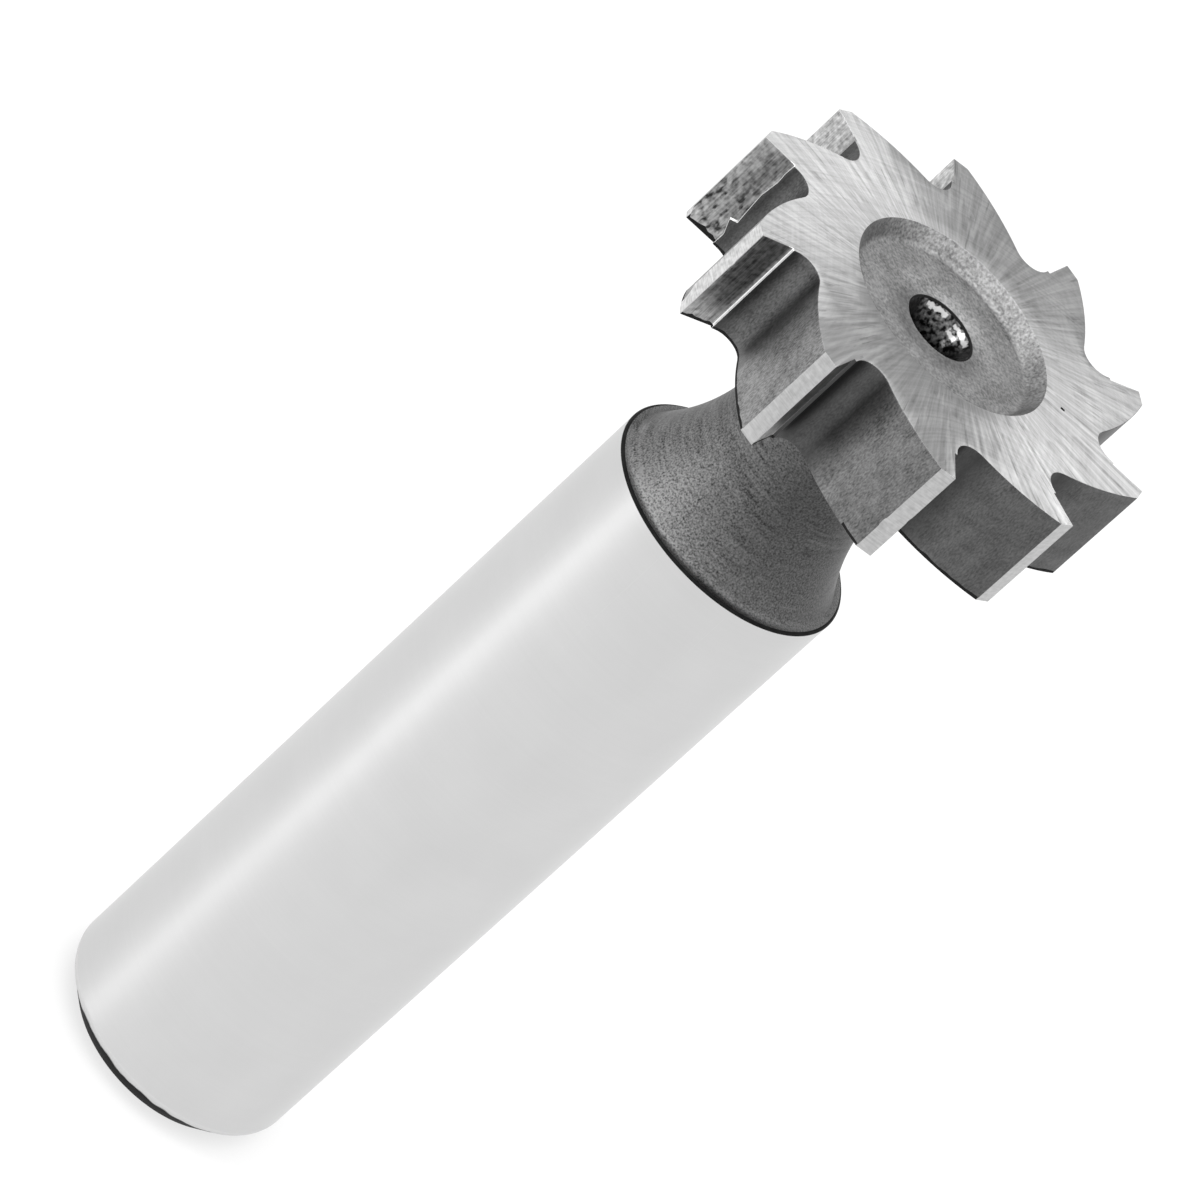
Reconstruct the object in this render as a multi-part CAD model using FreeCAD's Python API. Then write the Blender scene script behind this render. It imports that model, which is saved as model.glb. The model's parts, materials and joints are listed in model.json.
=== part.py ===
import FreeCAD, Part
import math
import os

from FreeCAD import Vector

# Woodruff keyseat cutter for a 7/32 x 7/8 in key, in millimetres.
# One piece: the plain shank, the slimmer neck and the toothed head are turned and
# ground from a single bar. +Z is the tool's own axis, from the flat shank end at the
# origin up to the front face of the head. The first tooth cuts along the +X side.

# Shank
SHANK_D = 12.70            # held in the collet
SHANK_LEN = 41.40          # shank end to the shoulder
END_CHAMFER_DEPTH = 1.15   # chamfer on the shank end, measured along the radius
END_CHAMFER_LEN = 1.25     # and along the axis
END_BLEND_R = 0.60         # rounding where the chamfer runs out into the shank

# Neck
SHOULDER_BEVEL = 0.12      # breaks the corner of the shoulder
SHOULDER_STEP = 0.46       # shank surface in to the start of the flare
NECK_D = 8.20              # slim part of the neck
NECK_LEN = 9.40            # shoulder to the back face of the head
FLARE_R = 10.50            # trumpet flare that leads the neck out to the shoulder
HEAD_FILLET = 0.60         # where the neck meets the head

# Head
HEAD_D = 22.60             # over the cutting edges
HEAD_W = 5.56              # width of the keyseat that it cuts
SIDE_DISH = 0.08           # side clearance: each side face sinks this much towards the hub
RECESS_D = 10.74           # relief turned into the front face
RECESS_DEPTH = 0.85
RECESS_WALL = 30.0         # degrees by which the recess wall leans outwards
RECESS_FILLET = 0.35

# Centre holes, one in the recess and one in the shank end, for turning and grinding
# between centres
CENTRE_D = 3.66
CENTRE_ANGLE = 60.0        # included angle of the countersink
PILOT_D = 1.60
PILOT_LEN = 1.70
PILOT_TIP_ANGLE = 118.0    # included angle left by the drill point

# Teeth, straight and parallel to the axis. Their rake faces look counter-clockwise
# seen from the front, which makes the tool cut right-handed.
TEETH = 10
RAKE_GROUND = 1.75         # height of the reground strip of the rake face
RAKE_LEDGE = 0.14          # step left below that strip
ROOT_R = 1.00              # fillet at the bottom of each gullet
GULLET_DEPTH = 2.85        # cutting circle down to the bottom of the gullet
LAND_W = 0.81              # ground land behind each cutting edge
LAND_RELIEF = 5.0          # degrees of clearance on the land
BACK_R = 12.0              # curve of the tooth's back, from the root fillet to the land

shank_r = SHANK_D / 2
neck_r = NECK_D / 2
head_r = HEAD_D / 2
recess_r = RECESS_D / 2
head_back = SHANK_LEN + NECK_LEN
head_front = head_back + HEAD_W


def lathe(points, arcs=None):
    """Solid turned about Z from (radius, height) corners; arcs gives the mid point of a curved side."""
    corners = [Vector(r, 0, z) for r, z in points]
    edges = []
    for i, start in enumerate(corners):
        end = corners[(i + 1) % len(corners)]
        if arcs and i in arcs:
            r, z = arcs[i]
            edges.append(Part.Arc(start, Vector(r, 0, z), end).toShape())
        else:
            edges.append(Part.LineSegment(start, end).toShape())
    face = Part.Face(Part.Wire(edges))
    return face.revolve(Vector(0, 0, 0), Vector(0, 0, 1), 360)


def turned_edge(shape, radius, height):
    """The circular edge of a turned shape at this radius and height."""
    def miss(edge):
        middle = edge.valueAt((edge.FirstParameter + edge.LastParameter) / 2)
        return math.hypot(math.hypot(middle.x, middle.y) - radius, middle.z - height)
    return min((e for e in shape.Edges if isinstance(e.Curve, Part.Circle)), key=miss)


def stem():
    """Shank and neck, running on into the head so that the two join."""
    flare_r = shank_r - SHOULDER_STEP
    drop = flare_r - neck_r
    flare_len = math.sqrt(drop * (2 * FLARE_R - drop))
    half = math.asin(flare_len / FLARE_R) / 2
    flare_top = SHANK_LEN + flare_len
    flare_mid = (neck_r + FLARE_R * (1 - math.cos(half)), flare_top - FLARE_R * math.sin(half))
    profile = [
        (0, 0),
        (shank_r - END_CHAMFER_DEPTH, 0),
        (shank_r, END_CHAMFER_LEN),
        (shank_r, SHANK_LEN - SHOULDER_BEVEL),
        (shank_r - SHOULDER_BEVEL, SHANK_LEN),
        (flare_r, SHANK_LEN),
        (neck_r, flare_top),
        (neck_r, head_back + HEAD_W / 2),
        (0, head_back + HEAD_W / 2),
    ]
    solid = lathe(profile, {5: flare_mid})
    return solid.makeFillet(END_BLEND_R, [turned_edge(solid, shank_r, END_CHAMFER_LEN)])


def polar(radius, degrees):
    return Vector(radius * math.cos(math.radians(degrees)), radius * math.sin(math.radians(degrees)), 0)


def along(start, towards, distance):
    """The point at this distance from start in the direction of towards."""
    return start + (towards - start).normalize() * distance


def tooth_gap():
    """Outline from the cutting edge on +X, down its rake face, round the gullet and up
    the back of the next tooth to that tooth's own cutting edge."""
    edge = polar(head_r, 0)
    next_edge = polar(head_r, 360 / TEETH)

    # Land of the next tooth: it falls away behind the cutting edge
    heel = next_edge + polar(LAND_W, 360 / TEETH - 90 - LAND_RELIEF)

    # Root fillet: it touches the gullet wall and reaches down to the gullet's depth
    side = RAKE_LEDGE + ROOT_R
    root_at = head_r - GULLET_DEPTH + ROOT_R
    root = Vector(math.sqrt(root_at ** 2 - side ** 2), side, 0)
    wall_end = root - Vector(0, ROOT_R, 0)

    # Back of the next tooth: an arc through the heel that runs smoothly into the root
    # fillet, so its centre is BACK_R from the heel and BACK_R + ROOT_R from the root's
    span = root.distanceToPoint(heel)
    near_root = (span ** 2 + (BACK_R + ROOT_R) ** 2 - BACK_R ** 2) / (2 * span)
    off_line = math.sqrt((BACK_R + ROOT_R) ** 2 - near_root ** 2)
    line = (heel - root).normalize()
    back = root + line * near_root + Vector(line.y, -line.x, 0) * -off_line
    blend = along(root, back, ROOT_R)
    back_mid = along(back, (blend + heel) / 2, BACK_R)
    root_mid = along(root, Vector(0, 0, 0), ROOT_R)

    ledge_out = edge - Vector(RAKE_GROUND, 0, 0)
    ledge_in = ledge_out + Vector(0, RAKE_LEDGE, 0)
    return [
        Part.LineSegment(edge, ledge_out).toShape(),
        Part.LineSegment(ledge_out, ledge_in).toShape(),
        Part.LineSegment(ledge_in, wall_end).toShape(),
        Part.Arc(wall_end, root_mid, blend).toShape(),
        Part.Arc(blend, back_mid, heel).toShape(),
        Part.LineSegment(heel, next_edge).toShape(),
    ]


def toothed_disc():
    """The head's outline, one tooth gap after another, drawn through its width."""
    outline = []
    for tooth in range(TEETH):
        for piece in tooth_gap():
            piece.rotate(Vector(0, 0, 0), Vector(0, 0, 1), tooth * 360 / TEETH)
            outline.append(piece)
    disc = Part.Face(Part.Wire(outline)).extrude(Vector(0, 0, HEAD_W))
    disc.translate(Vector(0, 0, head_back))
    return disc


def side_clearance():
    """Two shallow dishes that take the side faces back from the corners of the teeth."""
    front = lathe([
        (0, head_front - SIDE_DISH),
        (recess_r, head_front - SIDE_DISH),
        (head_r, head_front),
        (0, head_front),
    ])
    back = lathe([
        (0, head_back),
        (head_r, head_back),
        (neck_r, head_back + SIDE_DISH),
        (0, head_back + SIDE_DISH),
    ])
    return front.fuse(back)


def centre_hole():
    """Countersink and pilot hole, bored upwards from the origin."""
    centre_r = CENTRE_D / 2
    pilot_r = PILOT_D / 2
    sink_end = (centre_r - pilot_r) / math.tan(math.radians(CENTRE_ANGLE / 2))
    pilot_end = sink_end + PILOT_LEN
    point = pilot_end + pilot_r / math.tan(math.radians(PILOT_TIP_ANGLE / 2))
    return lathe([
        (0, 0),
        (centre_r, 0),
        (pilot_r, sink_end),
        (pilot_r, pilot_end),
        (0, point),
    ])


def recess():
    """Relief turned out of the front face, with the second centre hole in its floor."""
    lean = math.tan(math.radians(RECESS_WALL))
    floor = head_front - SIDE_DISH - RECESS_DEPTH
    floor_r = recess_r - RECESS_DEPTH * lean
    dish = lathe([
        (0, floor),
        (floor_r, floor),
        (recess_r + SIDE_DISH * lean, head_front),
        (0, head_front),
    ])
    dish = dish.makeFillet(RECESS_FILLET, [turned_edge(dish, floor_r, floor)])
    hole = centre_hole()
    hole.rotate(Vector(0, 0, 0), Vector(1, 0, 0), 180)
    hole.translate(Vector(0, 0, floor))
    return dish.fuse(hole)


def cutter():
    head = toothed_disc().cut(side_clearance())
    solid = stem().fuse(head).removeSplitter()
    solid = solid.makeFillet(HEAD_FILLET, [turned_edge(solid, neck_r, head_back + SIDE_DISH)])
    return solid.cut([centre_hole(), recess()])


os.makedirs("parts", exist_ok=True)
cutter().exportStep("parts/keyseat_cutter.step")
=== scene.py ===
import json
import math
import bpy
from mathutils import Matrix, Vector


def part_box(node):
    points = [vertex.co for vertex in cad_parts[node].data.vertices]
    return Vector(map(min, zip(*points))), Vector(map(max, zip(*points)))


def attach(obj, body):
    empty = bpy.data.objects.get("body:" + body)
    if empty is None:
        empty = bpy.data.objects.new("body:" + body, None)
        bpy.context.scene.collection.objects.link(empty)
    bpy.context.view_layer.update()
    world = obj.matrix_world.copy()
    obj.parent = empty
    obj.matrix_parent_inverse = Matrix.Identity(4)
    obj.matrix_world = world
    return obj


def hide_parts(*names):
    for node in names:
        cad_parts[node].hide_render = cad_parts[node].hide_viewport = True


bl_info = {
    "name": "Woodruff keyseat cutter",
    "version": (1, 0, 0),
    "blender": (4, 5, 0),
    "location": "View3D > Sidebar > Cutter",
    "description": "Turns and cuts a keyseat cutter, gives its steel its finishes and lights it",
    "category": "Object",
}

from collections import namedtuple

import bmesh
import bpy
from bpy.props import FloatProperty, FloatVectorProperty, IntProperty, PointerProperty
from bpy.types import Operator, Panel, PropertyGroup
from mathutils import Matrix, Vector, noise

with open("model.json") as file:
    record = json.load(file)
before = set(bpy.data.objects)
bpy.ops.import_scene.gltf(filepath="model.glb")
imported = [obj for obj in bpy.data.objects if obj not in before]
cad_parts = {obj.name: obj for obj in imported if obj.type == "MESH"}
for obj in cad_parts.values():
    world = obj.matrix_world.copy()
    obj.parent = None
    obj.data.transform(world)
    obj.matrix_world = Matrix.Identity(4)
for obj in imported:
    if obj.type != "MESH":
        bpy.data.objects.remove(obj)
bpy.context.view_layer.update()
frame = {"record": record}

NODE = "keyseat_cutter"
MM = 0.001

node_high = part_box(NODE)[1]
mounts = {mount["name"]: mount for mount in frame["record"]["mounts"]}

# Settings


def length(name, description, millimetres):
    """A length, kept in metres like all of the scene, with its default in millimetres."""
    return FloatProperty(
        name=name,
        description=description,
        default=millimetres * MM,
        unit="LENGTH",
        precision=5,
    )


def angle(name, description, degrees):
    return FloatProperty(
        name=name, description=description, default=math.radians(degrees), subtype="ANGLE"
    )


def steel_grey(name, description, value):
    """A grey of bare steel. 1 would be a perfect mirror."""
    return FloatVectorProperty(
        name=name,
        description=description,
        default=(value, value, value, 1.0),
        size=4,
        min=0.0,
        max=1.0,
        subtype="COLOR",
    )


class CutterStem(PropertyGroup):
    """Shank and neck."""

    shank_r: length("Shank radius", "Half of what the collet grips", mounts["shank"]["dims"]["r_mm"])
    shank_len: length("Shank length", "Shank end to the shoulder", 41.40)
    chamfer_depth: length("Chamfer depth", "End chamfer along the radius", 1.15)
    chamfer_len: length("Chamfer length", "End chamfer along the axis", 1.25)
    chamfer_blend: length("Chamfer blend", "Rounding from the chamfer to the shank", 0.60)
    shoulder_bevel: length("Shoulder bevel", "Breaks the corner of the shoulder", 0.12)
    shoulder_skin: length("Shoulder skin", "Dark skin on the outer part of the shoulder", 0.03)
    shoulder_step: length("Shoulder step", "Shank surface in to the flare", 0.46)
    neck_r: length("Neck radius", "Slim part of the neck", 4.10)
    neck_len: length("Neck length", "Shoulder to the head", 9.40)
    flare_r: length("Flare radius", "Trumpet flare of the neck", 10.50)
    head_fillet: length("Head fillet", "Where the neck meets the head", 0.60)


class CutterHead(PropertyGroup):
    """The head, its front recess and the centre holes."""

    radius: length("Head radius", "Half of the diameter over the teeth", node_high.x / MM)
    front: length("Front", "Shank end to the front face", node_high.z / MM)
    side_dish: length("Side dish", "How far a side face sinks towards the hub", 0.08)
    recess_r: length("Recess radius", "Rim of the front recess", 5.37)
    recess_depth: length("Recess depth", "Rim to floor", 0.85)
    recess_wall: angle("Recess wall", "How far the recess wall leans outwards", 30.0)
    recess_fillet: length("Recess fillet", "Between the wall and the floor", 0.35)
    centre_r: length("Centre hole radius", "Mouth of the countersink", 1.83)
    centre_half: angle("Centre half angle", "Countersink wall against the axis", 30.0)
    pilot_r: length("Pilot radius", "Small hole below the countersink", 0.80)
    pilot_len: length("Pilot length", "Straight part of the pilot hole", 1.70)
    drill_half: angle("Drill half angle", "Drill point against the axis", 59.0)
    centre_lip: length("Dark lip", "Dark skin below the mouth in the front recess", 0.13)
    pit_r: length("Pit radius", "Axis to the small pit in the front face", 6.39)
    pit_turn: angle("Pit turn", "Turn of the pit about the axis", 221.7)
    pit_size: length("Pit size", "Across the pit", 0.22)
    pit_depth: length("Pit depth", "Front face to the pit's floor", 0.07)


class CutterTeeth(PropertyGroup):
    """The shape of the teeth and their edges."""

    count: IntProperty(name="Teeth", description="Number of teeth", default=10, min=4)
    rake_ground: length("Ground rake", "Height of the reground strip on the rake", 1.75)
    rake_ledge: length("Ledge", "Step left below the reground strip", 0.14)
    root_r: length("Root radius", "Fillet at the bottom of a gullet", 1.00)
    gullet_depth: length("Gullet depth", "Cutting circle to gullet bottom", 2.85)
    land_w: length("Land width", "Ground land behind the edge", 0.81)
    land_relief: angle("Land relief", "Clearance of the land", 5.0)
    back_r: length("Back radius", "Curve of the tooth's back", 12.0)
    edge_break: length("Edge break", "Tiny rounding on every edge", 0.04)
    back_skin: length("Back skin", "Dark skin left at the back end of the gullets", 0.13)
    back_ragged: length("Ragged skin", "How far that skin strays forwards", 0.24)


class CutterFinish(PropertyGroup):
    """The greys of the steel, the dark and the light of each finish."""

    shank: steel_grey("Shank", "Centreless-ground shank", 0.675)
    side_dark: steel_grey("Sides, dark", "Scratches on the side faces", 0.16)
    side_light: steel_grey("Sides, light", "Side faces between the scratches", 0.52)
    land_dark: steel_grey("Lands, dark", "Scratches on the lands", 0.38)
    land_light: steel_grey("Lands, light", "Lands between the scratches", 0.80)
    # The darkest and lightest tones of the painted shade and dark reflection on the reground strips
    painted_shade_dark: steel_grey("Stain, dark", "Darkest stain on the reground strips", 0.06)
    painted_shade_light: steel_grey("Stain, light", "Lightest stain on the reground strips", 0.34)
    gullet_dark: steel_grey("Gullets, dark", "Hollows of the blasted gullets", 0.05)
    gullet_light: steel_grey("Gullets, light", "Peaks of the blasted gullets", 0.36)
    neck_dark: steel_grey("Neck, dark", "Hollows of the blasted neck", 0.03)
    neck_light: steel_grey("Neck, light", "Peaks of the blasted neck", 0.26)
    recess_dark: steel_grey("Recess, dark", "Hollows of the blasted recess", 0.08)
    recess_light: steel_grey("Recess, light", "Peaks of the blasted recess", 0.225)
    # The crescents in the centre holes are painted reflections
    mirror_bright: steel_grey("Lapped", "Crescents in the centre holes, and rubbed ledges", 0.95)
    edge: steel_grey("Edges", "Edges rubbed bright", 0.50)
    # Also used as painted shade on the end chamfer
    scale: steel_grey("Scale", "Dark skin of the hardening, left on corners", 0.007)


class CutterStudio(PropertyGroup):
    """Camera, floor and light."""

    axis_slope: angle("Axis slope", "Slope of the cutter's axis in the picture", 42.656)
    axis_lift: angle("Axis lift", "How far the axis leans towards the camera", 30.743)
    first_tooth: angle("First tooth", "Turn of the first tooth about the axis", 152.776)
    aim_height: length("Aim height", "Point on the axis that camera and lamps are set from", 25.4)
    aim_right: length("Aim right", "Optical axis to the right of that point", 4.206)
    aim_up: length("Aim up", "Optical axis above that point", 5.688)
    distance: length("Distance", "That point to the camera's plane", 367.64)
    lens: FloatProperty(
        name="Lens", description="Focal length", default=243.80, unit="CAMERA", precision=2
    )
    sensor: FloatProperty(
        name="Sensor", description="Width of the sensor", default=36.0, unit="CAMERA"
    )
    floor_size: length("Floor", "Half of the floor's width", 6000.0)
    floor_colour: FloatVectorProperty(
        name="Floor colour",
        description="Matt colour of the floor",
        default=(0.95, 0.95, 0.95, 1.0),
        size=4,
        subtype="COLOR",
    )
    floor_glow: FloatProperty(
        name="Floor glow",
        description="Share of the backdrop's colour in the floor, where it is seen",
        default=0.75,
        min=0.0,
        max=1.0,
    )
    backdrop: FloatVectorProperty(
        name="Backdrop",
        description="Colour behind the cutter",
        default=(1.0, 1.0, 1.0, 1.0),
        size=4,
        subtype="COLOR",
    )
    fill: FloatProperty(name="Fill", description="Soft light from all round", default=0.4, min=0.0)
    side_turn: angle("Side box turn", "Direction of the tall softbox beside the camera", 57.0)
    side_lift: angle("Side box lift", "Its middle above the floor", 36.0)
    side_width: length("Side box width", "Width of that softbox", 120.0)
    side_height: length("Side box height", "Height of that softbox", 850.0)
    side_light: FloatProperty(name="Side box", description="Its brightness", default=3.4, min=0.0)
    top_turn: angle("Top box turn", "Direction of the square softbox overhead", 250.0)
    top_lift: angle("Top box lift", "Its middle above the floor", 87.0)
    top_width: length("Top box width", "Width of that softbox", 1000.0)
    top_light: FloatProperty(name="Top box", description="Its brightness", default=2.0, min=0.0)
    box_distance: length("Box distance", "Softboxes to the point that they face", 550.0)


# Profile of the turned blank, as points of (radius, height)


def polar(radius, direction):
    return Vector((radius * math.cos(direction), radius * math.sin(direction)))


def direction_of(vector):
    return math.atan2(vector.y, vector.x)


def arc(centre, radius, start, end, steps):
    """Points from one direction to another about a centre, both ends included."""
    step = (end - start) / steps
    return [centre + polar(radius, start + step * i) for i in range(steps + 1)]


def rounded(before, corner, after, radius, steps):
    """The arc of this radius that rounds off a corner."""
    back = (before - corner).normalized()
    ahead = (after - corner).normalized()
    half = back.angle(ahead) / 2
    centre = corner + (back + ahead).normalized() * (radius / math.sin(half))
    reach = radius / math.tan(half)
    start = direction_of(corner + back * reach - centre)
    end = direction_of(corner + ahead * reach - centre)
    turn = (end - start + math.pi) % (2 * math.pi) - math.pi
    return arc(centre, radius, start, start + turn, steps)


def centre_hole(head, mouth, inward):
    """A centre hole from its bottom to its mouth. inward is 1 for a hole that goes up."""
    sink_end = mouth + inward * (head.centre_r - head.pilot_r) / math.tan(head.centre_half)
    pilot_end = sink_end + inward * head.pilot_len
    tip = pilot_end + inward * head.pilot_r / math.tan(head.drill_half)
    return [
        Vector((0, tip)),
        Vector((head.pilot_r, pilot_end)),
        Vector((head.pilot_r, sink_end)),
        Vector((head.centre_r, mouth)),
    ]


def stem_runs(stem, head):
    """Runs of the profile from the hole in the shank end to the hub, each with its finish.
    A run starts where the one before it ends."""
    chamfer_start = Vector((stem.shank_r - stem.chamfer_depth, 0))
    chamfer_end = Vector((stem.shank_r, stem.chamfer_len))
    shank_top = Vector((stem.shank_r, stem.shank_len - stem.shoulder_bevel))
    shoulder = Vector((stem.shank_r - stem.shoulder_bevel, stem.shank_len))
    skin_end = shoulder - Vector((stem.shoulder_skin, 0))

    flare_start = Vector((stem.shank_r - stem.shoulder_step, stem.shank_len))
    drop = flare_start.x - stem.neck_r
    flare_len = math.sqrt(drop * (2 * stem.flare_r - drop))
    opening = math.asin(flare_len / stem.flare_r)
    flare_centre = Vector((stem.neck_r + stem.flare_r, stem.shank_len + flare_len))
    flare = arc(flare_centre, stem.flare_r, math.pi + opening, math.pi, steps=20)

    back = stem.shank_len + stem.neck_len
    hub = Vector((stem.neck_r, back + head.side_dish))
    rim = Vector((head.radius, back))
    return [
        ("bore", centre_hole(head, 0, 1)),
        ("end", [chamfer_start]),
        ("chamfer", rounded(chamfer_start, chamfer_end, shank_top, stem.chamfer_blend, steps=6)),
        ("shank", [shank_top]),
        ("scale", [shoulder, skin_end]),
        ("neck", flare),
        ("neck", rounded(flare[-1], hub, rim, stem.head_fillet, steps=6)),
    ]


def side_sink(head, radius, inner_r):
    """How deep a side face lies here. It sinks evenly from the teeth to its inner radius."""
    return head.side_dish * (head.radius - radius) / (head.radius - inner_r)


# Rows of the head's mesh: slices through its width, the first of them in front of the dark
# skin at the back, and rings on the side faces as shares of the head's radius
SLICES = 48
FIRST_SLICE = 3
SIDE_RINGS = (0.62, 0.725)


def head_runs(stem, head, teeth):
    """Runs over the head. The blank's rim is cut to teeth later."""
    back = stem.shank_len + stem.neck_len
    step = (head.front - back) / SLICES
    outer_rings = [head.radius * share for share in SIDE_RINGS]
    pit_rings = [head.pit_r - head.pit_size / 2, head.pit_r + head.pit_size / 2]
    heights = [0, teeth.back_skin] + [step * i for i in range(FIRST_SLICE, SLICES + 1)]
    rim = [Vector((head.radius, back + height)) for height in heights]
    back_face = [Vector((r, back + side_sink(head, r, stem.neck_r))) for r in outer_rings]
    front_face = [
        Vector((r, head.front - side_sink(head, r, head.recess_r)))
        for r in pit_rings + outer_rings
    ]
    return [
        ("side", back_face + rim[:1]),
        ("skin", rim[1:2]),
        ("teeth", rim[2:]),
        ("side", front_face[::-1]),
        ("side", [Vector((head.recess_r, head.front - head.side_dish))]),
    ]


def recess_runs(head):
    """Runs from the rim of the front recess to the bottom of its centre hole."""
    rim = Vector((head.recess_r, head.front - head.side_dish))
    lean = head.recess_depth * math.tan(head.recess_wall)
    corner = rim - Vector((lean, head.recess_depth))
    hole = centre_hole(head, corner.y, -1)
    hole.reverse()
    floor = rounded(rim, corner, hole[0], head.recess_fillet, steps=5)
    middle = (floor[-1] + hole[0]) / 2
    lip = hole[0] + (hole[1] - hole[0]).normalized() * head.centre_lip
    return [("recess", floor + [middle, hole[0]]), ("scale", [lip]), ("bore", hole[1:])]


# Outline of the teeth, with their wear

# The ledge of the most worn tooth: share of the head's width from the back, and how far it
# strays outwards there, in mm
RAGGED_TOOTH = 1
RAGGED_LEDGE = (
    (0.0, 0.0),
    (0.13, -0.02),
    (0.27, 0.28),
    (0.29, -0.08),
    (0.36, -0.04),
    (0.49, 0.02),
    (0.61, 0.08),
    (0.80, -0.02),
    (0.90, 0.03),
    (1.0, 0.0),
)

# Nicks in the edges: number of the gap, point of its outline from either end, share of the
# head's width, half of the nick's length and its depth in mm
Nick = namedtuple("Nick", "gap point share reach depth")
NICKS = (
    Nick(3, 0, 0.22, 0.26, 0.10),
    Nick(1, 0, 0.03, 0.50, 0.16),
    Nick(3, -2, 0.31, 0.30, 0.07),
    Nick(2, 0, 0.64, 0.16, 0.04),
    Nick(4, 0, 0.45, 0.20, 0.05),
    Nick(1, -1, 0.0, 0.90, 0.08),
    Nick(1, -2, 0.0, 1.20, 0.22),
    Nick(1, -3, 0.0, 1.00, 0.14),
    Nick(1, -4, 0.0, 0.80, 0.06),
)

# The dark skin at the back of the gaps: those with the most of it on their reground strip,
# the share of its raggedness elsewhere, and the size of its grain in mm
SKINNED = (1, 2)
SKIN_ELSEWHERE = 0.25
SKIN_GRAIN = 0.3

# The gap whose gullet the blast cleared of skin, and the points of its outline cleared
CLEARED_GAP = 3
CLEARED = range(8, 27)

# Points of the outline on the reground strip
RAKE_POINTS = 7


def tooth_gap(teeth, radius):
    """One gap, from the cutting edge in direction 0 to just before the next edge, as
    points and the finish of the face that follows each of them."""
    pitch = 2 * math.pi / teeth.count
    next_edge = polar(radius, pitch)
    heel = next_edge + polar(teeth.land_w, pitch - math.pi / 2 - teeth.land_relief)

    side = teeth.rake_ledge + teeth.root_r
    root_at = radius - teeth.gullet_depth + teeth.root_r
    root = Vector((math.sqrt(root_at**2 - side**2), side))

    # The back's arc runs through the heel and smoothly into the root fillet
    reach = teeth.back_r + teeth.root_r
    span = (heel - root).length
    near_root = (span**2 + reach**2 - teeth.back_r**2) / (2 * span)
    off_line = math.sqrt(reach**2 - near_root**2)
    line = (heel - root) / span
    back = root + line * near_root + Vector((-line.y, line.x)) * off_line
    blend = direction_of(back - root)

    ledge = radius - teeth.rake_ground
    rake = [Vector((radius - teeth.rake_ground * i / RAKE_POINTS, 0)) for i in range(RAKE_POINTS)]
    wall = [Vector((ledge, teeth.rake_ledge))]
    floor = arc(root, teeth.root_r, -math.pi / 2, blend - 2 * math.pi, steps=9)
    curve = arc(
        back, teeth.back_r, direction_of(root - back), direction_of(heel - back), steps=12
    )
    return (
        [(p, "rake") for p in rake]
        + [(Vector((ledge, 0)), "ledge")]
        + [(p, "root") for p in wall + floor[:-1]]
        + [(p, "gullet") for p in curve[:-1]]
        + [(heel, "land"), ((heel + next_edge) / 2, "land")]
    )


# How far the blank's columns behind a rake face fan out
FAN = math.radians(2.6)


def column_turns(gap):
    """Directions of the blank's columns that carry the points of a gap. Those of the rake
    face would coincide, so they fan out behind it, and those of the land make way."""
    finishes = [finish for _, finish in gap]
    rake_points = finishes.index("root")
    land_points = finishes.count("land")
    turns = []
    for place, (point, finish) in enumerate(gap):
        turn = direction_of(point)
        if finish in ("rake", "ledge"):
            turn -= FAN * (1 - place / rake_points)
        elif finish == "land":
            turn -= FAN * (1 - (len(gap) - place) / (land_points + 1))
        turns.append(turn)
    return turns


def ledge_shift(share):
    """How far the ragged ledge lies outwards at this share of the head's width."""
    for (start, before), (end, after) in zip(RAGGED_LEDGE, RAGGED_LEDGE[1:]):
        if share <= end:
            return (before + (after - before) * (share - start) / (end - start)) * MM
    return 0.0


def wear(gap, number, place, share, width, rake_ground):
    """How far a point of the outline of one gap is moved outwards."""
    radius, finish = gap[0][0].x, gap[place][1]
    depth = (radius - gap[place][0].x) / rake_ground
    move = 0.0
    on_strip = finish in ("rake", "ledge") or gap[place - 1][1] == "ledge"
    if number == RAGGED_TOOTH and on_strip:
        move += ledge_shift(share) * min(depth, 1.0) ** 2
    for nick in NICKS:
        if number == nick.gap and place == nick.point % len(gap):
            apart = (share - nick.share) * width / (nick.reach * MM)
            move -= nick.depth * MM * max(0.0, 1.0 - apart * apart)
    return move


def cut_teeth(row_of, column_of, share_of, gap, stem, head, teeth):
    """Moves the blank's rim onto the outline of the teeth and turns the rest to suit it."""
    turns = column_turns(gap)
    back = stem.shank_len + stem.neck_len
    for vert, column in column_of.items():
        number, place = divmod(column, len(gap))
        tooth = 2 * math.pi * number / teeth.count
        if vert[row_of] in share_of:
            share = share_of[vert[row_of]]
            move = wear(gap, number, place, share, head.front - back, teeth.rake_ground)
            point = gap[place][0] + gap[place][0].normalized() * move
            low = back + side_sink(head, point.length, stem.neck_r)
            high = head.front - side_sink(head, point.length, head.recess_r)
            point.rotate(Matrix.Rotation(tooth, 2))
            vert.co = (point.x, point.y, low + (high - low) * share)
        else:
            vert.co.xy = polar(vert.co.xy.length, tooth + turns[place])


def fray_skin(row_of, column_of, row, gap, teeth):
    """Lets the dark skin at the back of the gullets stray forwards unevenly. The noise is
    doubled because it seldom passes a half."""
    for vert, column in column_of.items():
        if vert[row_of] == row:
            number, place = divmod(column, len(gap))
            most = number in SKINNED and gap[place][1] == "rake"
            reach = 1.0 if most else SKIN_ELSEWHERE
            grain = noise.noise(vert.co / (SKIN_GRAIN * MM))
            vert.co.z += teeth.back_ragged * reach * abs(grain) * 2


# Shader helpers


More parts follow.
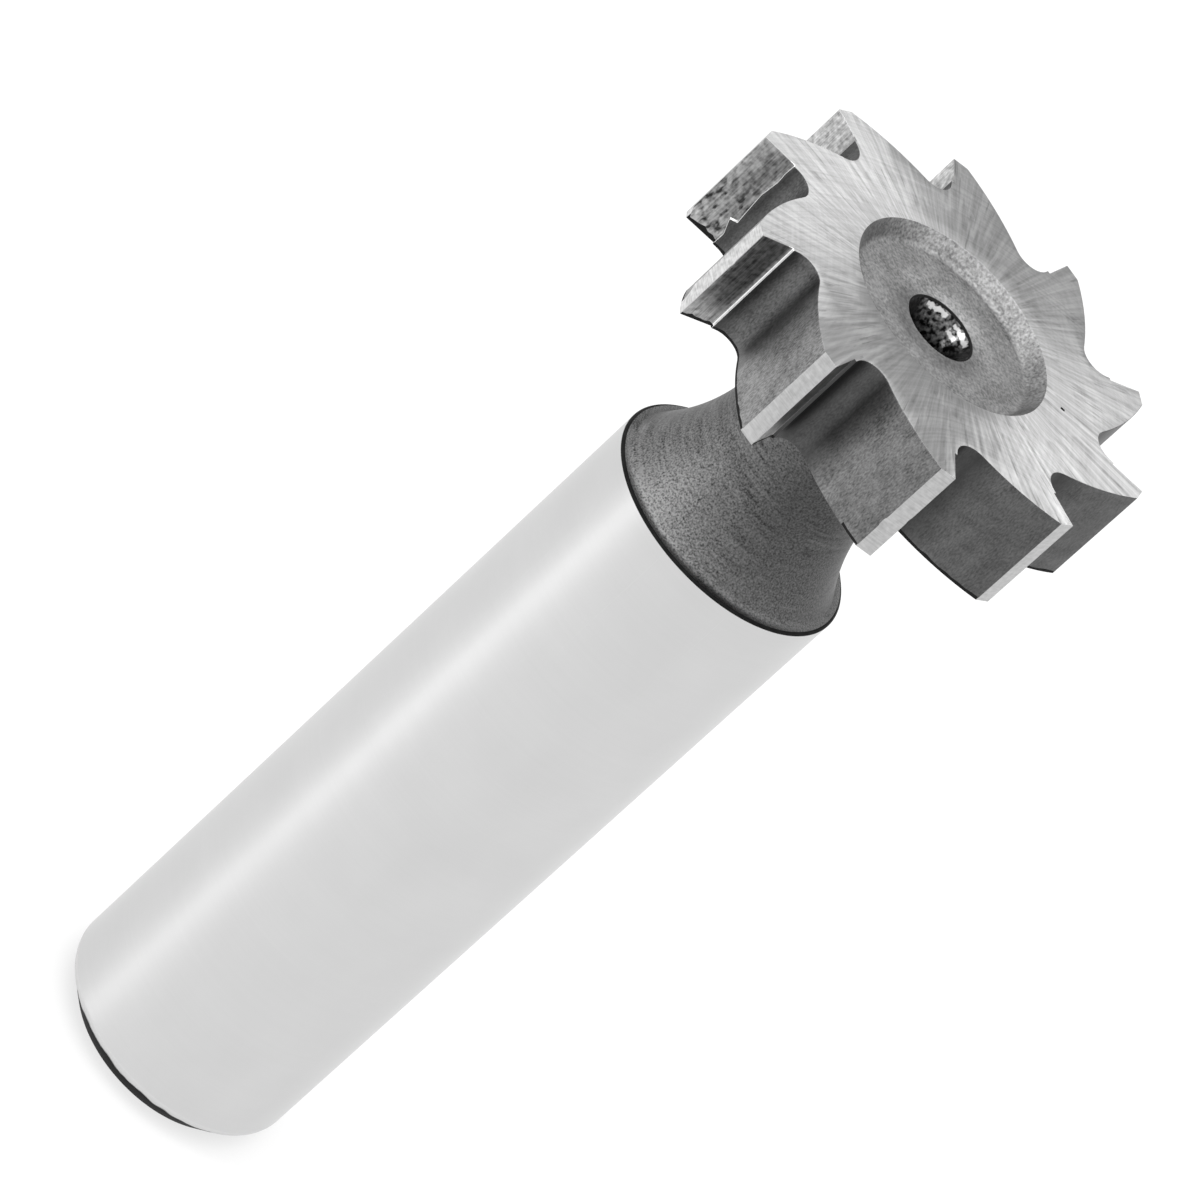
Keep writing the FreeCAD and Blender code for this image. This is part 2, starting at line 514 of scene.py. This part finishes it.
class Wire:
    """An output of a node. Arithmetic on wires and numbers adds Math nodes."""

    def __init__(self, nodes, socket):
        self.nodes = nodes
        self.socket = socket

    def math(self, operation, *others, swapped=False):
        values = (*others, self) if swapped else (self, *others)
        settings = {"operation": operation}
        return self.nodes.add("ShaderNodeMath", settings, dict(enumerate(values)))

    def __add__(self, other):
        return self.math("ADD", other)

    def __radd__(self, other):
        return self.math("ADD", other, swapped=True)

    def __sub__(self, other):
        return self.math("SUBTRACT", other)

    def __rsub__(self, other):
        return self.math("SUBTRACT", other, swapped=True)

    def __mul__(self, other):
        return self.math("MULTIPLY", other)

    def __rmul__(self, other):
        return self.math("MULTIPLY", other, swapped=True)

    def __truediv__(self, other):
        return self.math("DIVIDE", other)

    def __rtruediv__(self, other):
        return self.math("DIVIDE", other, swapped=True)

    def __pow__(self, other):
        return self.math("POWER", other)


class Nodes:
    """The nodes of one material or world."""

    def __init__(self, owner):
        owner.use_nodes = True
        self.tree = owner.node_tree
        self.tree.nodes.clear()

    def add(self, kind, settings=None, values=None, out=0):
        """A new node: its settings come first, then the values or wires of its sockets.
        Returns one of its outputs, if it has any."""
        node = self.tree.nodes.new(kind)
        for name, value in (settings or {}).items():
            setattr(node, name, value)
        for socket, value in (values or {}).items():
            if isinstance(value, Wire):
                self.tree.links.new(value.socket, node.inputs[socket])
            else:
                node.inputs[socket].default_value = value
        return Wire(self, node.outputs[out]) if node.outputs else None

    def outputs(self, wire):
        """Every output of the node that a wire comes from, by name."""
        return {socket.name: Wire(self, socket) for socket in wire.socket.node.outputs}

    def mix(self, factor, dark, light):
        """A colour between two colours."""
        return self.add(
            "ShaderNodeMix",
            {"data_type": "RGBA"},
            {"Factor": factor, 6: dark, 7: light},
            out=2,
        )

    def spread(self, wire, low, high, to_low=0.0, to_high=1.0):
        """Stretches the range from low to high onto another one and stops at its ends."""
        values = dict(enumerate((wire, low, high, to_low, to_high)))
        return self.add("ShaderNodeMapRange", {"clamp": True}, values)


class Steel(Nodes):
    """One finish of the steel, patterned in the cutter's own coordinates."""

    def __init__(self, name):
        self.material = bpy.data.materials.new(name)
        super().__init__(self.material)
        self.place = self.add("ShaderNodeTexCoord", out="Object")
        parts = self.add("ShaderNodeSeparateXYZ", values={0: self.place})
        self.x, self.y, self.z = self.outputs(parts).values()
        self.radius = (self.x * self.x + self.y * self.y) ** 0.5

    def vector(self, x, y, z):
        return self.add("ShaderNodeCombineXYZ", values={0: x, 1: y, 2: z})

    def noise(self, vector, scale=1.0, detail=2.0):
        values = {"Vector": vector, "Scale": scale, "Detail": detail}
        return self.add("ShaderNodeTexNoise", {"noise_dimensions": "3D"}, values)

    def grain(self, size, detail=2.0):
        """Even grain, its grains about this long."""
        return self.noise(self.place, 1 / size, detail)

    def rings(self, width, length):
        """Lines round the axis: narrow along it and long across it."""
        return self.noise(self.vector(self.x / length, self.y / length, self.z / width))

    def flutes(self, width, length):
        """Lines along the axis: narrow across it and long along it."""
        return self.noise(self.vector(self.x / width, self.y / width, self.z / length))

    def streaks(self, count, length):
        """Radial streaks, this many round the axis and this long."""
        across = count / (2 * math.pi) / self.radius
        vector = self.vector(self.x * across, self.y * across, self.radius / length)
        return self.noise(vector, detail=3.0)

    def patches(self, size):
        """1 on patches about this large, 0 between them."""
        return self.spread(self.grain(size), 0.50, 0.56)

    def wheel_marks(self, x, y, width, length):
        """Curved scratches about a point beside the cutter, as a grinding wheel leaves."""
        dx, dy = self.x - x, self.y - y
        reach = (dx * dx + dy * dy) ** 0.5
        return self.noise(self.vector(reach / width, self.x / length, self.y / length))

    def towards(self, degrees):
        """1 where the surface lies in this direction from the axis, -1 opposite."""
        turn = math.radians(degrees)
        return (self.x * math.cos(turn) + self.y * math.sin(turn)) / self.radius

    def finish(self, colour, roughness, height=None, depth=0.0, metallic=1.0, **fixed):
        """Joins it all up in one shader. fixed holds sockets that are the same all over."""
        values = {"Base Color": colour, "Metallic": metallic, "Roughness": roughness}
        values.update({name.replace("_", " "): value for name, value in fixed.items()})
        if height is not None:
            bump = {"Strength": 1.0, "Distance": depth, "Height": height}
            values["Normal"] = self.add("ShaderNodeBump", values=bump)
        surface = self.add("ShaderNodeBsdfPrincipled", values=values)
        self.add("ShaderNodeOutputMaterial", values={"Surface": surface})
        return self.material


# Finishes

# How strongly the dark skin reflects, where glass would be 0.5
SKIN_SHEEN = 0.01


def shank_finish(look):
    """Centreless-ground: smooth, with very fine lines round the shank."""
    steel = Steel("shank")
    rings = steel.rings(0.10 * MM, 12 * MM)
    cloud = steel.grain(3 * MM)
    tone = 0.90 + 0.06 * cloud + 0.04 * rings
    colour = steel.mix(tone, look.scale, look.shank)
    roughness = 0.43 + 0.06 * rings
    brushed = {"Anisotropic": 0.8, "Anisotropic_Rotation": 0.25}
    return steel.finish(colour, roughness, rings, 0.0006 * MM, **brushed)


def side_finish(look):
    """Side-ground faces: streaks out from the hub, feathered ones between the hub and the
    teeth, crossing wheel marks and short scratches."""
    steel = Steel("side")
    streaks = steel.spread(steel.streaks(260, 5 * MM), 0.25, 0.75)
    arcs = steel.spread(steel.wheel_marks(-14 * MM, 6 * MM, 0.14 * MM, 4 * MM), 0.3, 0.7)
    counter = steel.spread(steel.wheel_marks(9 * MM, 16 * MM, 0.2 * MM, 3 * MM), 0.3, 0.8)
    scratches = steel.spread(steel.streaks(380, 2.4 * MM), 0.58, 0.66)
    scratches *= steel.patches(1.6 * MM)
    feathers = steel.spread(steel.streaks(150, 2 * MM), 0.36, 0.64) - 0.5
    inside_teeth = steel.spread(steel.radius, 7 * MM, 9.5 * MM, 1.0, 0.3)
    feathers *= steel.patches(2 * MM) * inside_teeth
    fine = steel.grain(0.09 * MM)
    marks = 0.5 * streaks + 0.2 * arcs + 0.15 * counter + 0.15 * fine - 0.3 * scratches
    marks += 0.45 * feathers
    near_hub = steel.spread(steel.radius, 5.4 * MM, 8.0 * MM, 0.8, 1.0)
    colour = steel.mix(marks * near_hub, look.side_dark, look.side_light)
    return steel.finish(colour, 0.48 + 0.14 * marks, marks, 0.003 * MM, Anisotropic=0.9)


def land_finish(look):
    """Ground lands, with lines along the direction of the cut, and painted light that makes them
    brightest on one side.
    """
    steel = Steel("land")
    lines = steel.rings(0.07 * MM, 0.9 * MM)
    spots = steel.grain(0.25 * MM)
    # Painted light: lands that face one side of the cutter are made brighter
    painted_lit_side = steel.spread(steel.towards(30.0), 0.2, 0.75, 0.38, 1.0)
    tone = steel.spread(0.5 * lines + 0.5 * spots, 0.28, 0.64) * painted_lit_side
    colour = steel.mix(tone, look.land_dark, look.land_light)
    return steel.finish(colour, 0.26 + 0.1 * lines, lines, 0.002 * MM)


def rake_finish(look):
    """Reground strips with lines along the axis. Most carry painted shade and dark reflection, set
    by the way they face, more near the ledge and less at the back, and the most worn one is pitted."""
    steel = Steel("rake")
    lines = steel.flutes(0.07 * MM, 1.5 * MM)
    spots = steel.grain(0.28 * MM, 3.0)
    near_ledge = steel.spread(steel.radius, 9.6 * MM, 10.9 * MM, 0.35, 0.0)
    off_back = steel.spread(steel.z + spots * MM, 51.9 * MM, 52.9 * MM, 0.5, 1.0)
    # Painted shade and dark reflection: strips facing one way are darkened, more so near the ledge
    painted_shade_mask = steel.spread(steel.towards(150.0), -0.8, 0.1) + near_ledge
    painted_shade_mask *= off_back
    tone = steel.spread(0.4 * lines + 0.6 * spots, 0.32, 0.68)
    clean = steel.mix(tone, look.side_dark, look.land_light)
    painted_shade = steel.mix(tone, look.painted_shade_dark, look.painted_shade_light)
    pits = steel.spread(steel.flutes(0.3 * MM, 0.6 * MM), 0.5, 0.36)
    worn_tooth = steel.spread(steel.towards(36.0), 0.85, 0.95, 0.0, 0.9)
    off_front = steel.spread(steel.z, 55 * MM, 53 * MM, 0.3, 1.0)
    pitted = pits * worn_tooth * off_front
    colour = steel.mix(pitted, steel.mix(painted_shade_mask, clean, painted_shade), look.scale)
    return steel.finish(colour, 0.34 + 0.14 * spots, lines - pitted, 0.006 * MM)


def ledge_finish(look):
    """The ledges' edges, rubbed bright on two of the teeth."""
    steel = Steel("ledge")
    fine = steel.grain(0.2 * MM)
    two_teeth = steel.spread(steel.towards(54.0), 0.6, 0.9)
    rubbed = two_teeth * steel.spread(fine, 0.1, 0.4)
    # The other ledges take the darkest tone of the rakes' painted shade
    colour = steel.mix(rubbed, look.painted_shade_dark, look.mirror_bright)
    return steel.finish(colour, 0.26 + 0.1 * fine)


def blasted(steel, look, rise):
    """Dull and sandy, with painted shade that deepens towards the foot of a tooth's back and painted
    light on one side of the cutter. rise is 0 at the foot of a tooth's back, 1 high on it, and less
    than 0 on the gullet walls, which get more painted shade."""
    sand = steel.flutes(0.07 * MM, 0.16 * MM)
    mottle = steel.grain(0.8 * MM)
    painted_lit_side = steel.towards(40.0)
    # Painted shade at the foot of the teeth, lighter on one side of the cutter
    root = steel.spread(painted_lit_side, 0.3, 0.8, 0.2, 0.4)
    painted_shading = root + rise * (1.0 - root)
    # Painted light: the gullets on one side of the cutter are lighter
    painted_shading *= steel.spread(painted_lit_side, -0.6, 0.6, 0.4, 1.45)
    tone = steel.spread(0.65 * sand + 0.35 * mottle, 0.25, 0.75) * painted_shading
    colour = steel.mix(tone, look.gullet_dark, look.gullet_light)
    return steel.finish(colour, 0.42 + 0.14 * sand, sand, 0.006 * MM)


def root_finish(look):
    """Gullet walls and roots, with the most painted shade."""
    steel = Steel("root")
    return blasted(steel, look, steel.spread(steel.radius, 8.5 * MM, 9.3 * MM, 0.0, -0.4))


def gullet_finish(look):
    """Backs of the teeth, with painted shade towards the root."""
    steel = Steel("gullet")
    return blasted(steel, look, steel.spread(steel.radius, 8.6 * MM, 9.5 * MM))


def neck_finish(look):
    """Turned, then blasted: fine sand, with patches of turning lines left in it, painted light on
    one side and painted shade towards the head.
    """
    steel = Steel("neck")
    sand = steel.grain(0.09 * MM, 3.0)
    turned = steel.patches(2.5 * MM) + steel.spread(steel.towards(45.0), 0.7, 1.0)
    lines = (steel.rings(0.17 * MM, 2.5 * MM) - 0.5) * turned
    # Painted light: one side of the neck is lighter
    painted_lit_side = steel.spread(steel.towards(80.0), 0.6, 1.0, 0.65, 1.35)
    # Painted shade: the neck darkens towards the head
    painted_shading = steel.spread(steel.z, 42 * MM, 46.5 * MM, 1.1, 0.7)
    painted_shading *= painted_lit_side
    tone = steel.spread(sand + 0.5 * lines, 0.25, 0.75) * painted_shading
    colour = steel.mix(tone, look.neck_dark, look.neck_light)
    return steel.finish(colour, 0.44 + 0.1 * sand, sand + 1.5 * lines, 0.01 * MM)


def recess_finish(look):
    """Blasted recess. On one side the wall takes on the front face's greys, nearly as bright."""
    steel = Steel("recess")
    sand = steel.grain(0.13 * MM, 3.0)
    mottle = steel.grain(1.1 * MM)
    tone = steel.spread(0.7 * sand + 0.3 * mottle, 0.34, 0.66)
    floor = steel.mix(tone, look.recess_dark, look.recess_light)
    wall = steel.mix(tone, look.side_dark, look.side_light)
    on_wall = steel.spread(steel.radius, 4.85 * MM, 5.0 * MM)
    bright = steel.spread(steel.towards(285.0), 0.1, 0.6, 0.0, 0.5) * on_wall
    return steel.finish(steel.mix(bright, floor, wall), 0.42 + 0.1 * sand, sand, 0.006 * MM)


# Painted reflections, as bright crescents in the centre holes: how much of the wall's colour they
# cover, the width in mm over which their rims fade, then the middle and half of the length of each
# in degrees, and its inner and outer radius in mm
CRESCENT_SHARE = 0.6
CRESCENT_FADE = 0.03
CRESCENTS = (
    (265, 21, 1.62, 1.70),
    (323, 19, 1.62, 1.70),
    (275, 10, 1.43, 1.52),
    (269, 4, 1.19, 1.26),
)


def bore_finish(look):
    """Centre holes: dark and mottled as painted dark reflection, lighter on one side as painted
    light, with bright crescents that are painted reflections.
    """
    steel = Steel("bore")
    rings = steel.rings(0.12 * MM, 2 * MM)
    radius = steel.radius + (steel.grain(0.25 * MM) - 0.5) * (0.25 * MM)
    mottle = steel.spread(steel.grain(0.22 * MM, 3.0), 0.4, 0.7)
    # Painted light: the mottle is lighter on one side of the hole
    mottle *= steel.spread(steel.towards(297.0), 0.4, 0.8, 0.2, 1.0)
    colour = steel.mix(mottle, look.scale, look.neck_light)
    # Painted reflections: bright crescents in the hole's wall
    for middle, half, inner, outer in CRESCENTS:
        end = math.cos(math.radians(half))
        mirror_bright = steel.spread(steel.towards(middle), end - 0.01, end)
        mirror_bright *= steel.spread(radius, (inner - CRESCENT_FADE) * MM, inner * MM)
        mirror_bright *= steel.spread(radius, (outer + CRESCENT_FADE) * MM, outer * MM)
        colour = steel.mix(CRESCENT_SHARE * mirror_bright, colour, look.mirror_bright)
    return steel.finish(colour, 0.26 + 0.1 * rings, rings, 0.003 * MM)


def end_finish(look):
    """Flat shank end, with the rings that a facing cut leaves."""
    steel = Steel("end")
    rings = steel.wheel_marks(0.0, 0.0, 0.15 * MM, 9 * MM)
    colour = steel.mix(rings, look.land_dark, look.land_light)
    return steel.finish(colour, 0.32 + 0.1 * rings, rings, 0.003 * MM)


def edge_finish(look):
    """Edges that handling and work have rubbed bright."""
    steel = Steel("edge")
    fine = steel.grain(0.4 * MM, 3.0)
    colour = steel.mix(steel.spread(fine, 0.3, 0.55), look.land_dark, look.edge)
    return steel.finish(colour, 0.3 + 0.1 * fine)


def scale_finish(look):
    """Matt dark skin that the hardening leaves where no grinding wheel touched."""
    steel = Steel("scale")
    patches = steel.grain(0.5 * MM, 3.0)
    colour = steel.mix(patches, look.scale, look.neck_dark)
    return steel.finish(
        colour, 0.5, patches, 0.01 * MM, metallic=0.0, Specular_IOR_Level=SKIN_SHEEN
    )


def chamfer_finish(look):
    """Painted shade on the end chamfer, in the same near-black matt skin, with a ragged edge where
    the ground shank takes over.
    """
    steel = Steel("chamfer")
    ragged = steel.z + steel.flutes(1.5 * MM, 3 * MM) * (0.9 * MM)
    ground = steel.spread(ragged, 1.48 * MM, 1.62 * MM)
    # Painted shade: the chamfer is near black up to a ragged edge
    colour = steel.mix(ground, look.scale, look.shank)
    return steel.finish(colour, 0.46, metallic=ground, Specular_IOR_Level=SKIN_SHEEN)


FINISHES = {
    "shank": shank_finish,
    "side": side_finish,
    "land": land_finish,
    "rake": rake_finish,
    "ledge": ledge_finish,
    "root": root_finish,
    "gullet": gullet_finish,
    "neck": neck_finish,
    "recess": recess_finish,
    "bore": bore_finish,
    "end": end_finish,
    "chamfer": chamfer_finish,
    "edge": edge_finish,
    "scale": scale_finish,
}
SLOTS = list(FINISHES)

# Operators


class CUTTER_OT_body(Operator):
    """Turn the blank, cut its teeth, break its edges and give each surface its finish"""

    bl_idname = "cutter.body"
    bl_label = "Cutter body"

    # Edges that turn by more than this are rounded, and points closer than this merge
    SHARP = math.radians(28.0)
    SAME_POINT = 0.0001 * MM

    # Shares of the pit's size: its middle to the middles of its faces, and its wall
    PIT_REACH = 0.6
    PIT_WALL = 0.15

    # Finishes that spread onto a rounded edge beside them. The first one wins.
    SPREADING = ("ledge", "gullet", "root")

    def execute(self, context):
        scene = context.scene
        stem, head, teeth = scene.cutter_stem, scene.cutter_head, scene.cutter_teeth

        runs = stem_runs(stem, head) + head_runs(stem, head, teeth) + recess_runs(head)
        rows = [(point, finish) for finish, points in runs for point in points]
        back = stem.shank_len + stem.neck_len
        share_of = {
            row: (point.y - back) / (head.front - back)
            for row, (point, _) in enumerate(rows)
            if point.x == head.radius
        }
        back_row = min(share_of)

        gap = tooth_gap(teeth, head.radius)
        columns = len(gap) * teeth.count
        bm, row_of = self.turn_blank([point for point, _ in rows], columns)
        column_of = {
            vert: round(direction_of(vert.co) / (2 * math.pi) * columns) % columns
            for vert in bm.verts
        }

        cut_teeth(row_of, column_of, share_of, gap, stem, head, teeth)
        fray_skin(row_of, column_of, back_row + 1, gap, teeth)
        self.give_finishes(bm, rows, row_of, column_of, gap)

        bmesh.ops.recalc_face_normals(bm, faces=bm.faces)
        self.sink_pit(bm, head)
        self.break_edges(bm, row_of, (back_row, back_row + 1), teeth.edge_break)
        # No rounded edge may stand out in front of the head
        for vert in bm.verts:
            vert.co.z = min(vert.co.z, head.front)
        for face in bm.faces:
            face.smooth = True

        mesh = bpy.data.meshes.new("cutter_body")
        bm.to_mesh(mesh)
        bm.free()
        for make in FINISHES.values():
            mesh.materials.append(make(scene.cutter_finish))
        body = bpy.data.objects.new("cutter_body", mesh)
        scene.collection.objects.link(body)
        body.modifiers.new("flat_faces_stay_flat", "WEIGHTED_NORMAL")

        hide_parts(NODE)
        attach(body, "root")
        return {"FINISHED"}

    def turn_blank(self, profile, columns):
        """Spins the profile about the axis. Each vertex keeps its row's number, and those on
        the axis merge."""
        bm = bmesh.new()
        row_of = bm.verts.layers.int.new("row")
        line = []
        for row, point in enumerate(profile):
            vert = bm.verts.new((point.x, 0, point.y))
            vert[row_of] = row
            line.append(vert)
        edges = [bm.edges.new(pair) for pair in zip(line, line[1:])]
        bmesh.ops.spin(
            bm,
            geom=line + edges,
            cent=(0, 0, 0),
            axis=(0, 0, 1),
            angle=2 * math.pi,
            steps=columns,
            use_merge=True,
        )
        bmesh.ops.remove_doubles(bm, verts=bm.verts, dist=self.SAME_POINT)
        return bm, row_of

    def give_finishes(self, bm, rows, row_of, column_of, gap):
        """Gives each face the finish of its row, or on the rim that of its column, except
        where dark skin was left at the back of a gap."""
        last_column = max(column_of.values())
        for face in bm.faces:
            finish = rows[max(vert[row_of] for vert in face.verts)][1]
            if finish in ("teeth", "skin"):
                around = {column_of[vert] for vert in face.verts}
                first = max(around) if {0, last_column} <= around else min(around)
                number, place = divmod(first, len(gap))
                part = gap[place][1]
                cleared = part == "land" or (number == CLEARED_GAP and place in CLEARED)
                finish = "scale" if finish == "skin" and not cleared else part
            face.material_index = SLOTS.index(finish)

    def sink_pit(self, bm, head):
        """Sinks the faces of the front that lie where the pit is."""
        place = polar(head.pit_r, head.pit_turn).to_3d()
        place.z = head.front
        pit = [
            face
            for face in bm.faces
            if (face.calc_center_median() - place).length < self.PIT_REACH * head.pit_size
        ]
        thickness = self.PIT_WALL * head.pit_size
        wall = bmesh.ops.inset_region(bm, faces=pit, thickness=thickness, depth=0.0)
        floor = {vert for face in pit for vert in face.verts}
        bmesh.ops.translate(bm, verts=list(floor), vec=(0, 0, -head.pit_depth))
        for face in pit + wall["faces"]:
            face.material_index = SLOTS.index("scale")

    def break_edges(self, bm, row_of, back_rows, offset):
        """Rounds the sharp outer edges. Skin and centre holes keep theirs, apart from the
        skin at the back of the teeth. Rounded edges of lands and rakes are rubbed bright."""
        spared = {SLOTS.index("scale"), SLOTS.index("bore")}
        edges = [
            edge
            for edge in bm.edges
            if edge.calc_face_angle(0.0) > self.SHARP
            and edge.is_convex
            and (
                not spared & {face.material_index for face in edge.link_faces}
                or all(vert[row_of] in back_rows for vert in edge.verts)
            )
        ]
        made = bmesh.ops.bevel(
            bm,
            geom=edges,
            offset=offset,
            offset_type="OFFSET",
            segments=2,
            profile=0.5,
            affect="EDGES",
            clamp_overlap=True,
            material=-1,
        )
        beside = {
            face: {SLOTS[other.material_index] for edge in face.edges for other in edge.link_faces}
            for face in made["faces"]
        }
        for face, finishes in beside.items():
            taken = [finish for finish in self.SPREADING if finish in finishes]
            if taken:
                face.material_index = SLOTS.index(taken[0])
            elif SLOTS[face.material_index] in ("land", "rake"):
                face.material_index = SLOTS.index("edge")


class CUTTER_OT_studio(Operator):
    """Set up the camera, the pale floor and the soft light"""

    bl_idname = "cutter.studio"
    bl_label = "Studio"

    def execute(self, context):
        scene = context.scene
        studio = scene.cutter_studio
        scene.view_settings.view_transform = "Standard"
        right, up, back = self.camera_axes(studio)
        self.camera(scene, studio, right, up, back)
        self.floor(scene, studio)
        self.world(scene, studio)
        self.softbox(
            scene,
            studio,
            "side_box",
            (studio.side_turn, studio.side_lift),
            (studio.side_width, studio.side_height),
            studio.side_light,
        )
        self.softbox(
            scene,
            studio,
            "top_box",
            (studio.top_turn, studio.top_lift),
            (studio.top_width, studio.top_width),
            studio.top_light,
        )
        return {"FINISHED"}

    def camera_axes(self, studio):
        """Right, up and back of the camera, in the cutter's frame."""
        slope, lift, turn = studio.axis_slope, studio.axis_lift, studio.first_tooth
        tool_z = Vector(
            (math.cos(lift) * math.cos(slope), math.cos(lift) * math.sin(slope), math.sin(lift))
        )
        level = Vector((math.sin(slope), -math.cos(slope), 0))
        third = tool_z.cross(level)
        tool_x = math.cos(turn) * level + math.sin(turn) * third
        tool_y = math.cos(turn) * third - math.sin(turn) * level
        return Matrix((tool_x, tool_y, tool_z)).transposed()

    def camera(self, scene, studio, right, up, back):
        lens = bpy.data.cameras.new("camera")
        lens.lens = studio.lens
        lens.sensor_width = studio.sensor
        lens.clip_start, lens.clip_end = 0.01, 100.0
        camera = bpy.data.objects.new("camera", lens)
        place = Vector((0, 0, studio.aim_height))
        place += right * studio.aim_right + up * studio.aim_up + back * studio.distance
        turn = Matrix((right, up, back)).transposed()
        camera.matrix_world = Matrix.Translation(place) @ turn.to_4x4()
        scene.collection.objects.link(camera)
        scene.camera = camera

    def floor(self, scene, studio):
        bm = bmesh.new()
        bmesh.ops.create_grid(bm, x_segments=1, y_segments=1, size=studio.floor_size)
        mesh = bpy.data.meshes.new("floor")
        bm.to_mesh(mesh)
        bm.free()
        floor = bpy.data.objects.new("floor", mesh)
        scene.collection.objects.link(floor)

        material = bpy.data.materials.new("floor")
        nodes = Nodes(material)
        matt = nodes.add("ShaderNodeBsdfDiffuse", values={"Color": studio.floor_colour})
        glow = nodes.add("ShaderNodeEmission", values={"Color": studio.backdrop})
        factor = self.shown(nodes) * studio.floor_glow
        surface = nodes.add("ShaderNodeMixShader", values={0: factor, 1: matt, 2: glow})
        nodes.add("ShaderNodeOutputMaterial", values={"Surface": surface})
        mesh.materials.append(material)

    def shown(self, nodes):
        """1 for rays that show the surroundings, straight or in metal or glass."""
        rays = nodes.outputs(nodes.add("ShaderNodeLightPath"))
        straight = rays["Is Camera Ray"] + rays["Is Transmission Ray"]
        return straight + rays["Is Glossy Ray"]

    def world(self, scene, studio):
        scene.world = bpy.data.worlds.new("studio")
        nodes = Nodes(scene.world)
        strength = studio.fill + self.shown(nodes) * (1.0 - studio.fill)
        light = nodes.add(
            "ShaderNodeBackground", values={"Color": studio.backdrop, "Strength": strength}
        )
        nodes.add("ShaderNodeOutputWorld", values={"Surface": light})

    def softbox(self, scene, studio, name, towards, size, brightness):
        """A rectangular lamp that faces the middle of the cutter. A larger one of the same
        brightness gives more light."""
        turn, lift = towards
        direction = polar(math.cos(lift), turn).to_3d()
        direction.z = math.sin(lift)
        lamp = bpy.data.lights.new(name, "AREA")
        lamp.shape = "RECTANGLE"
        lamp.size, lamp.size_y = size
        lamp.energy = brightness * math.pi * lamp.size * lamp.size_y
        box = bpy.data.objects.new(name, lamp)
        box.location = Vector((0, 0, studio.aim_height)) + direction * studio.box_distance
        box.rotation_euler = direction.to_track_quat("Z", "Y").to_euler()
        scene.collection.objects.link(box)


class CUTTER_PT_panel(Panel):
    """Everything that the cutter is made from"""

    bl_idname = "CUTTER_PT_panel"
    bl_label = "Keyseat cutter"
    bl_space_type = "VIEW_3D"
    bl_region_type = "UI"
    bl_category = "Cutter"

    def draw(self, context):
        for name, group in GROUPS.items():
            box = self.layout.box()
            box.label(text=group.__doc__)
            for setting in group.__annotations__:
                box.prop(getattr(context.scene, name), setting)
        for operator in OPERATORS:
            self.layout.operator(operator.bl_idname)


GROUPS = {
    "cutter_stem": CutterStem,
    "cutter_head": CutterHead,
    "cutter_teeth": CutterTeeth,
    "cutter_finish": CutterFinish,
    "cutter_studio": CutterStudio,
}
OPERATORS = (CUTTER_OT_body, CUTTER_OT_studio)
CLASSES = (*GROUPS.values(), *OPERATORS, CUTTER_PT_panel)


def register():
    for cls in CLASSES:
        bpy.utils.register_class(cls)
    for name, group in GROUPS.items():
        setattr(bpy.types.Scene, name, PointerProperty(type=group))


def unregister():
    for name in GROUPS:
        delattr(bpy.types.Scene, name)
    for cls in reversed(CLASSES):
        bpy.utils.unregister_class(cls)


def main():
    register()
    bpy.ops.cutter.body()
    bpy.ops.cutter.studio()


if __name__ == "__main__":
    main()
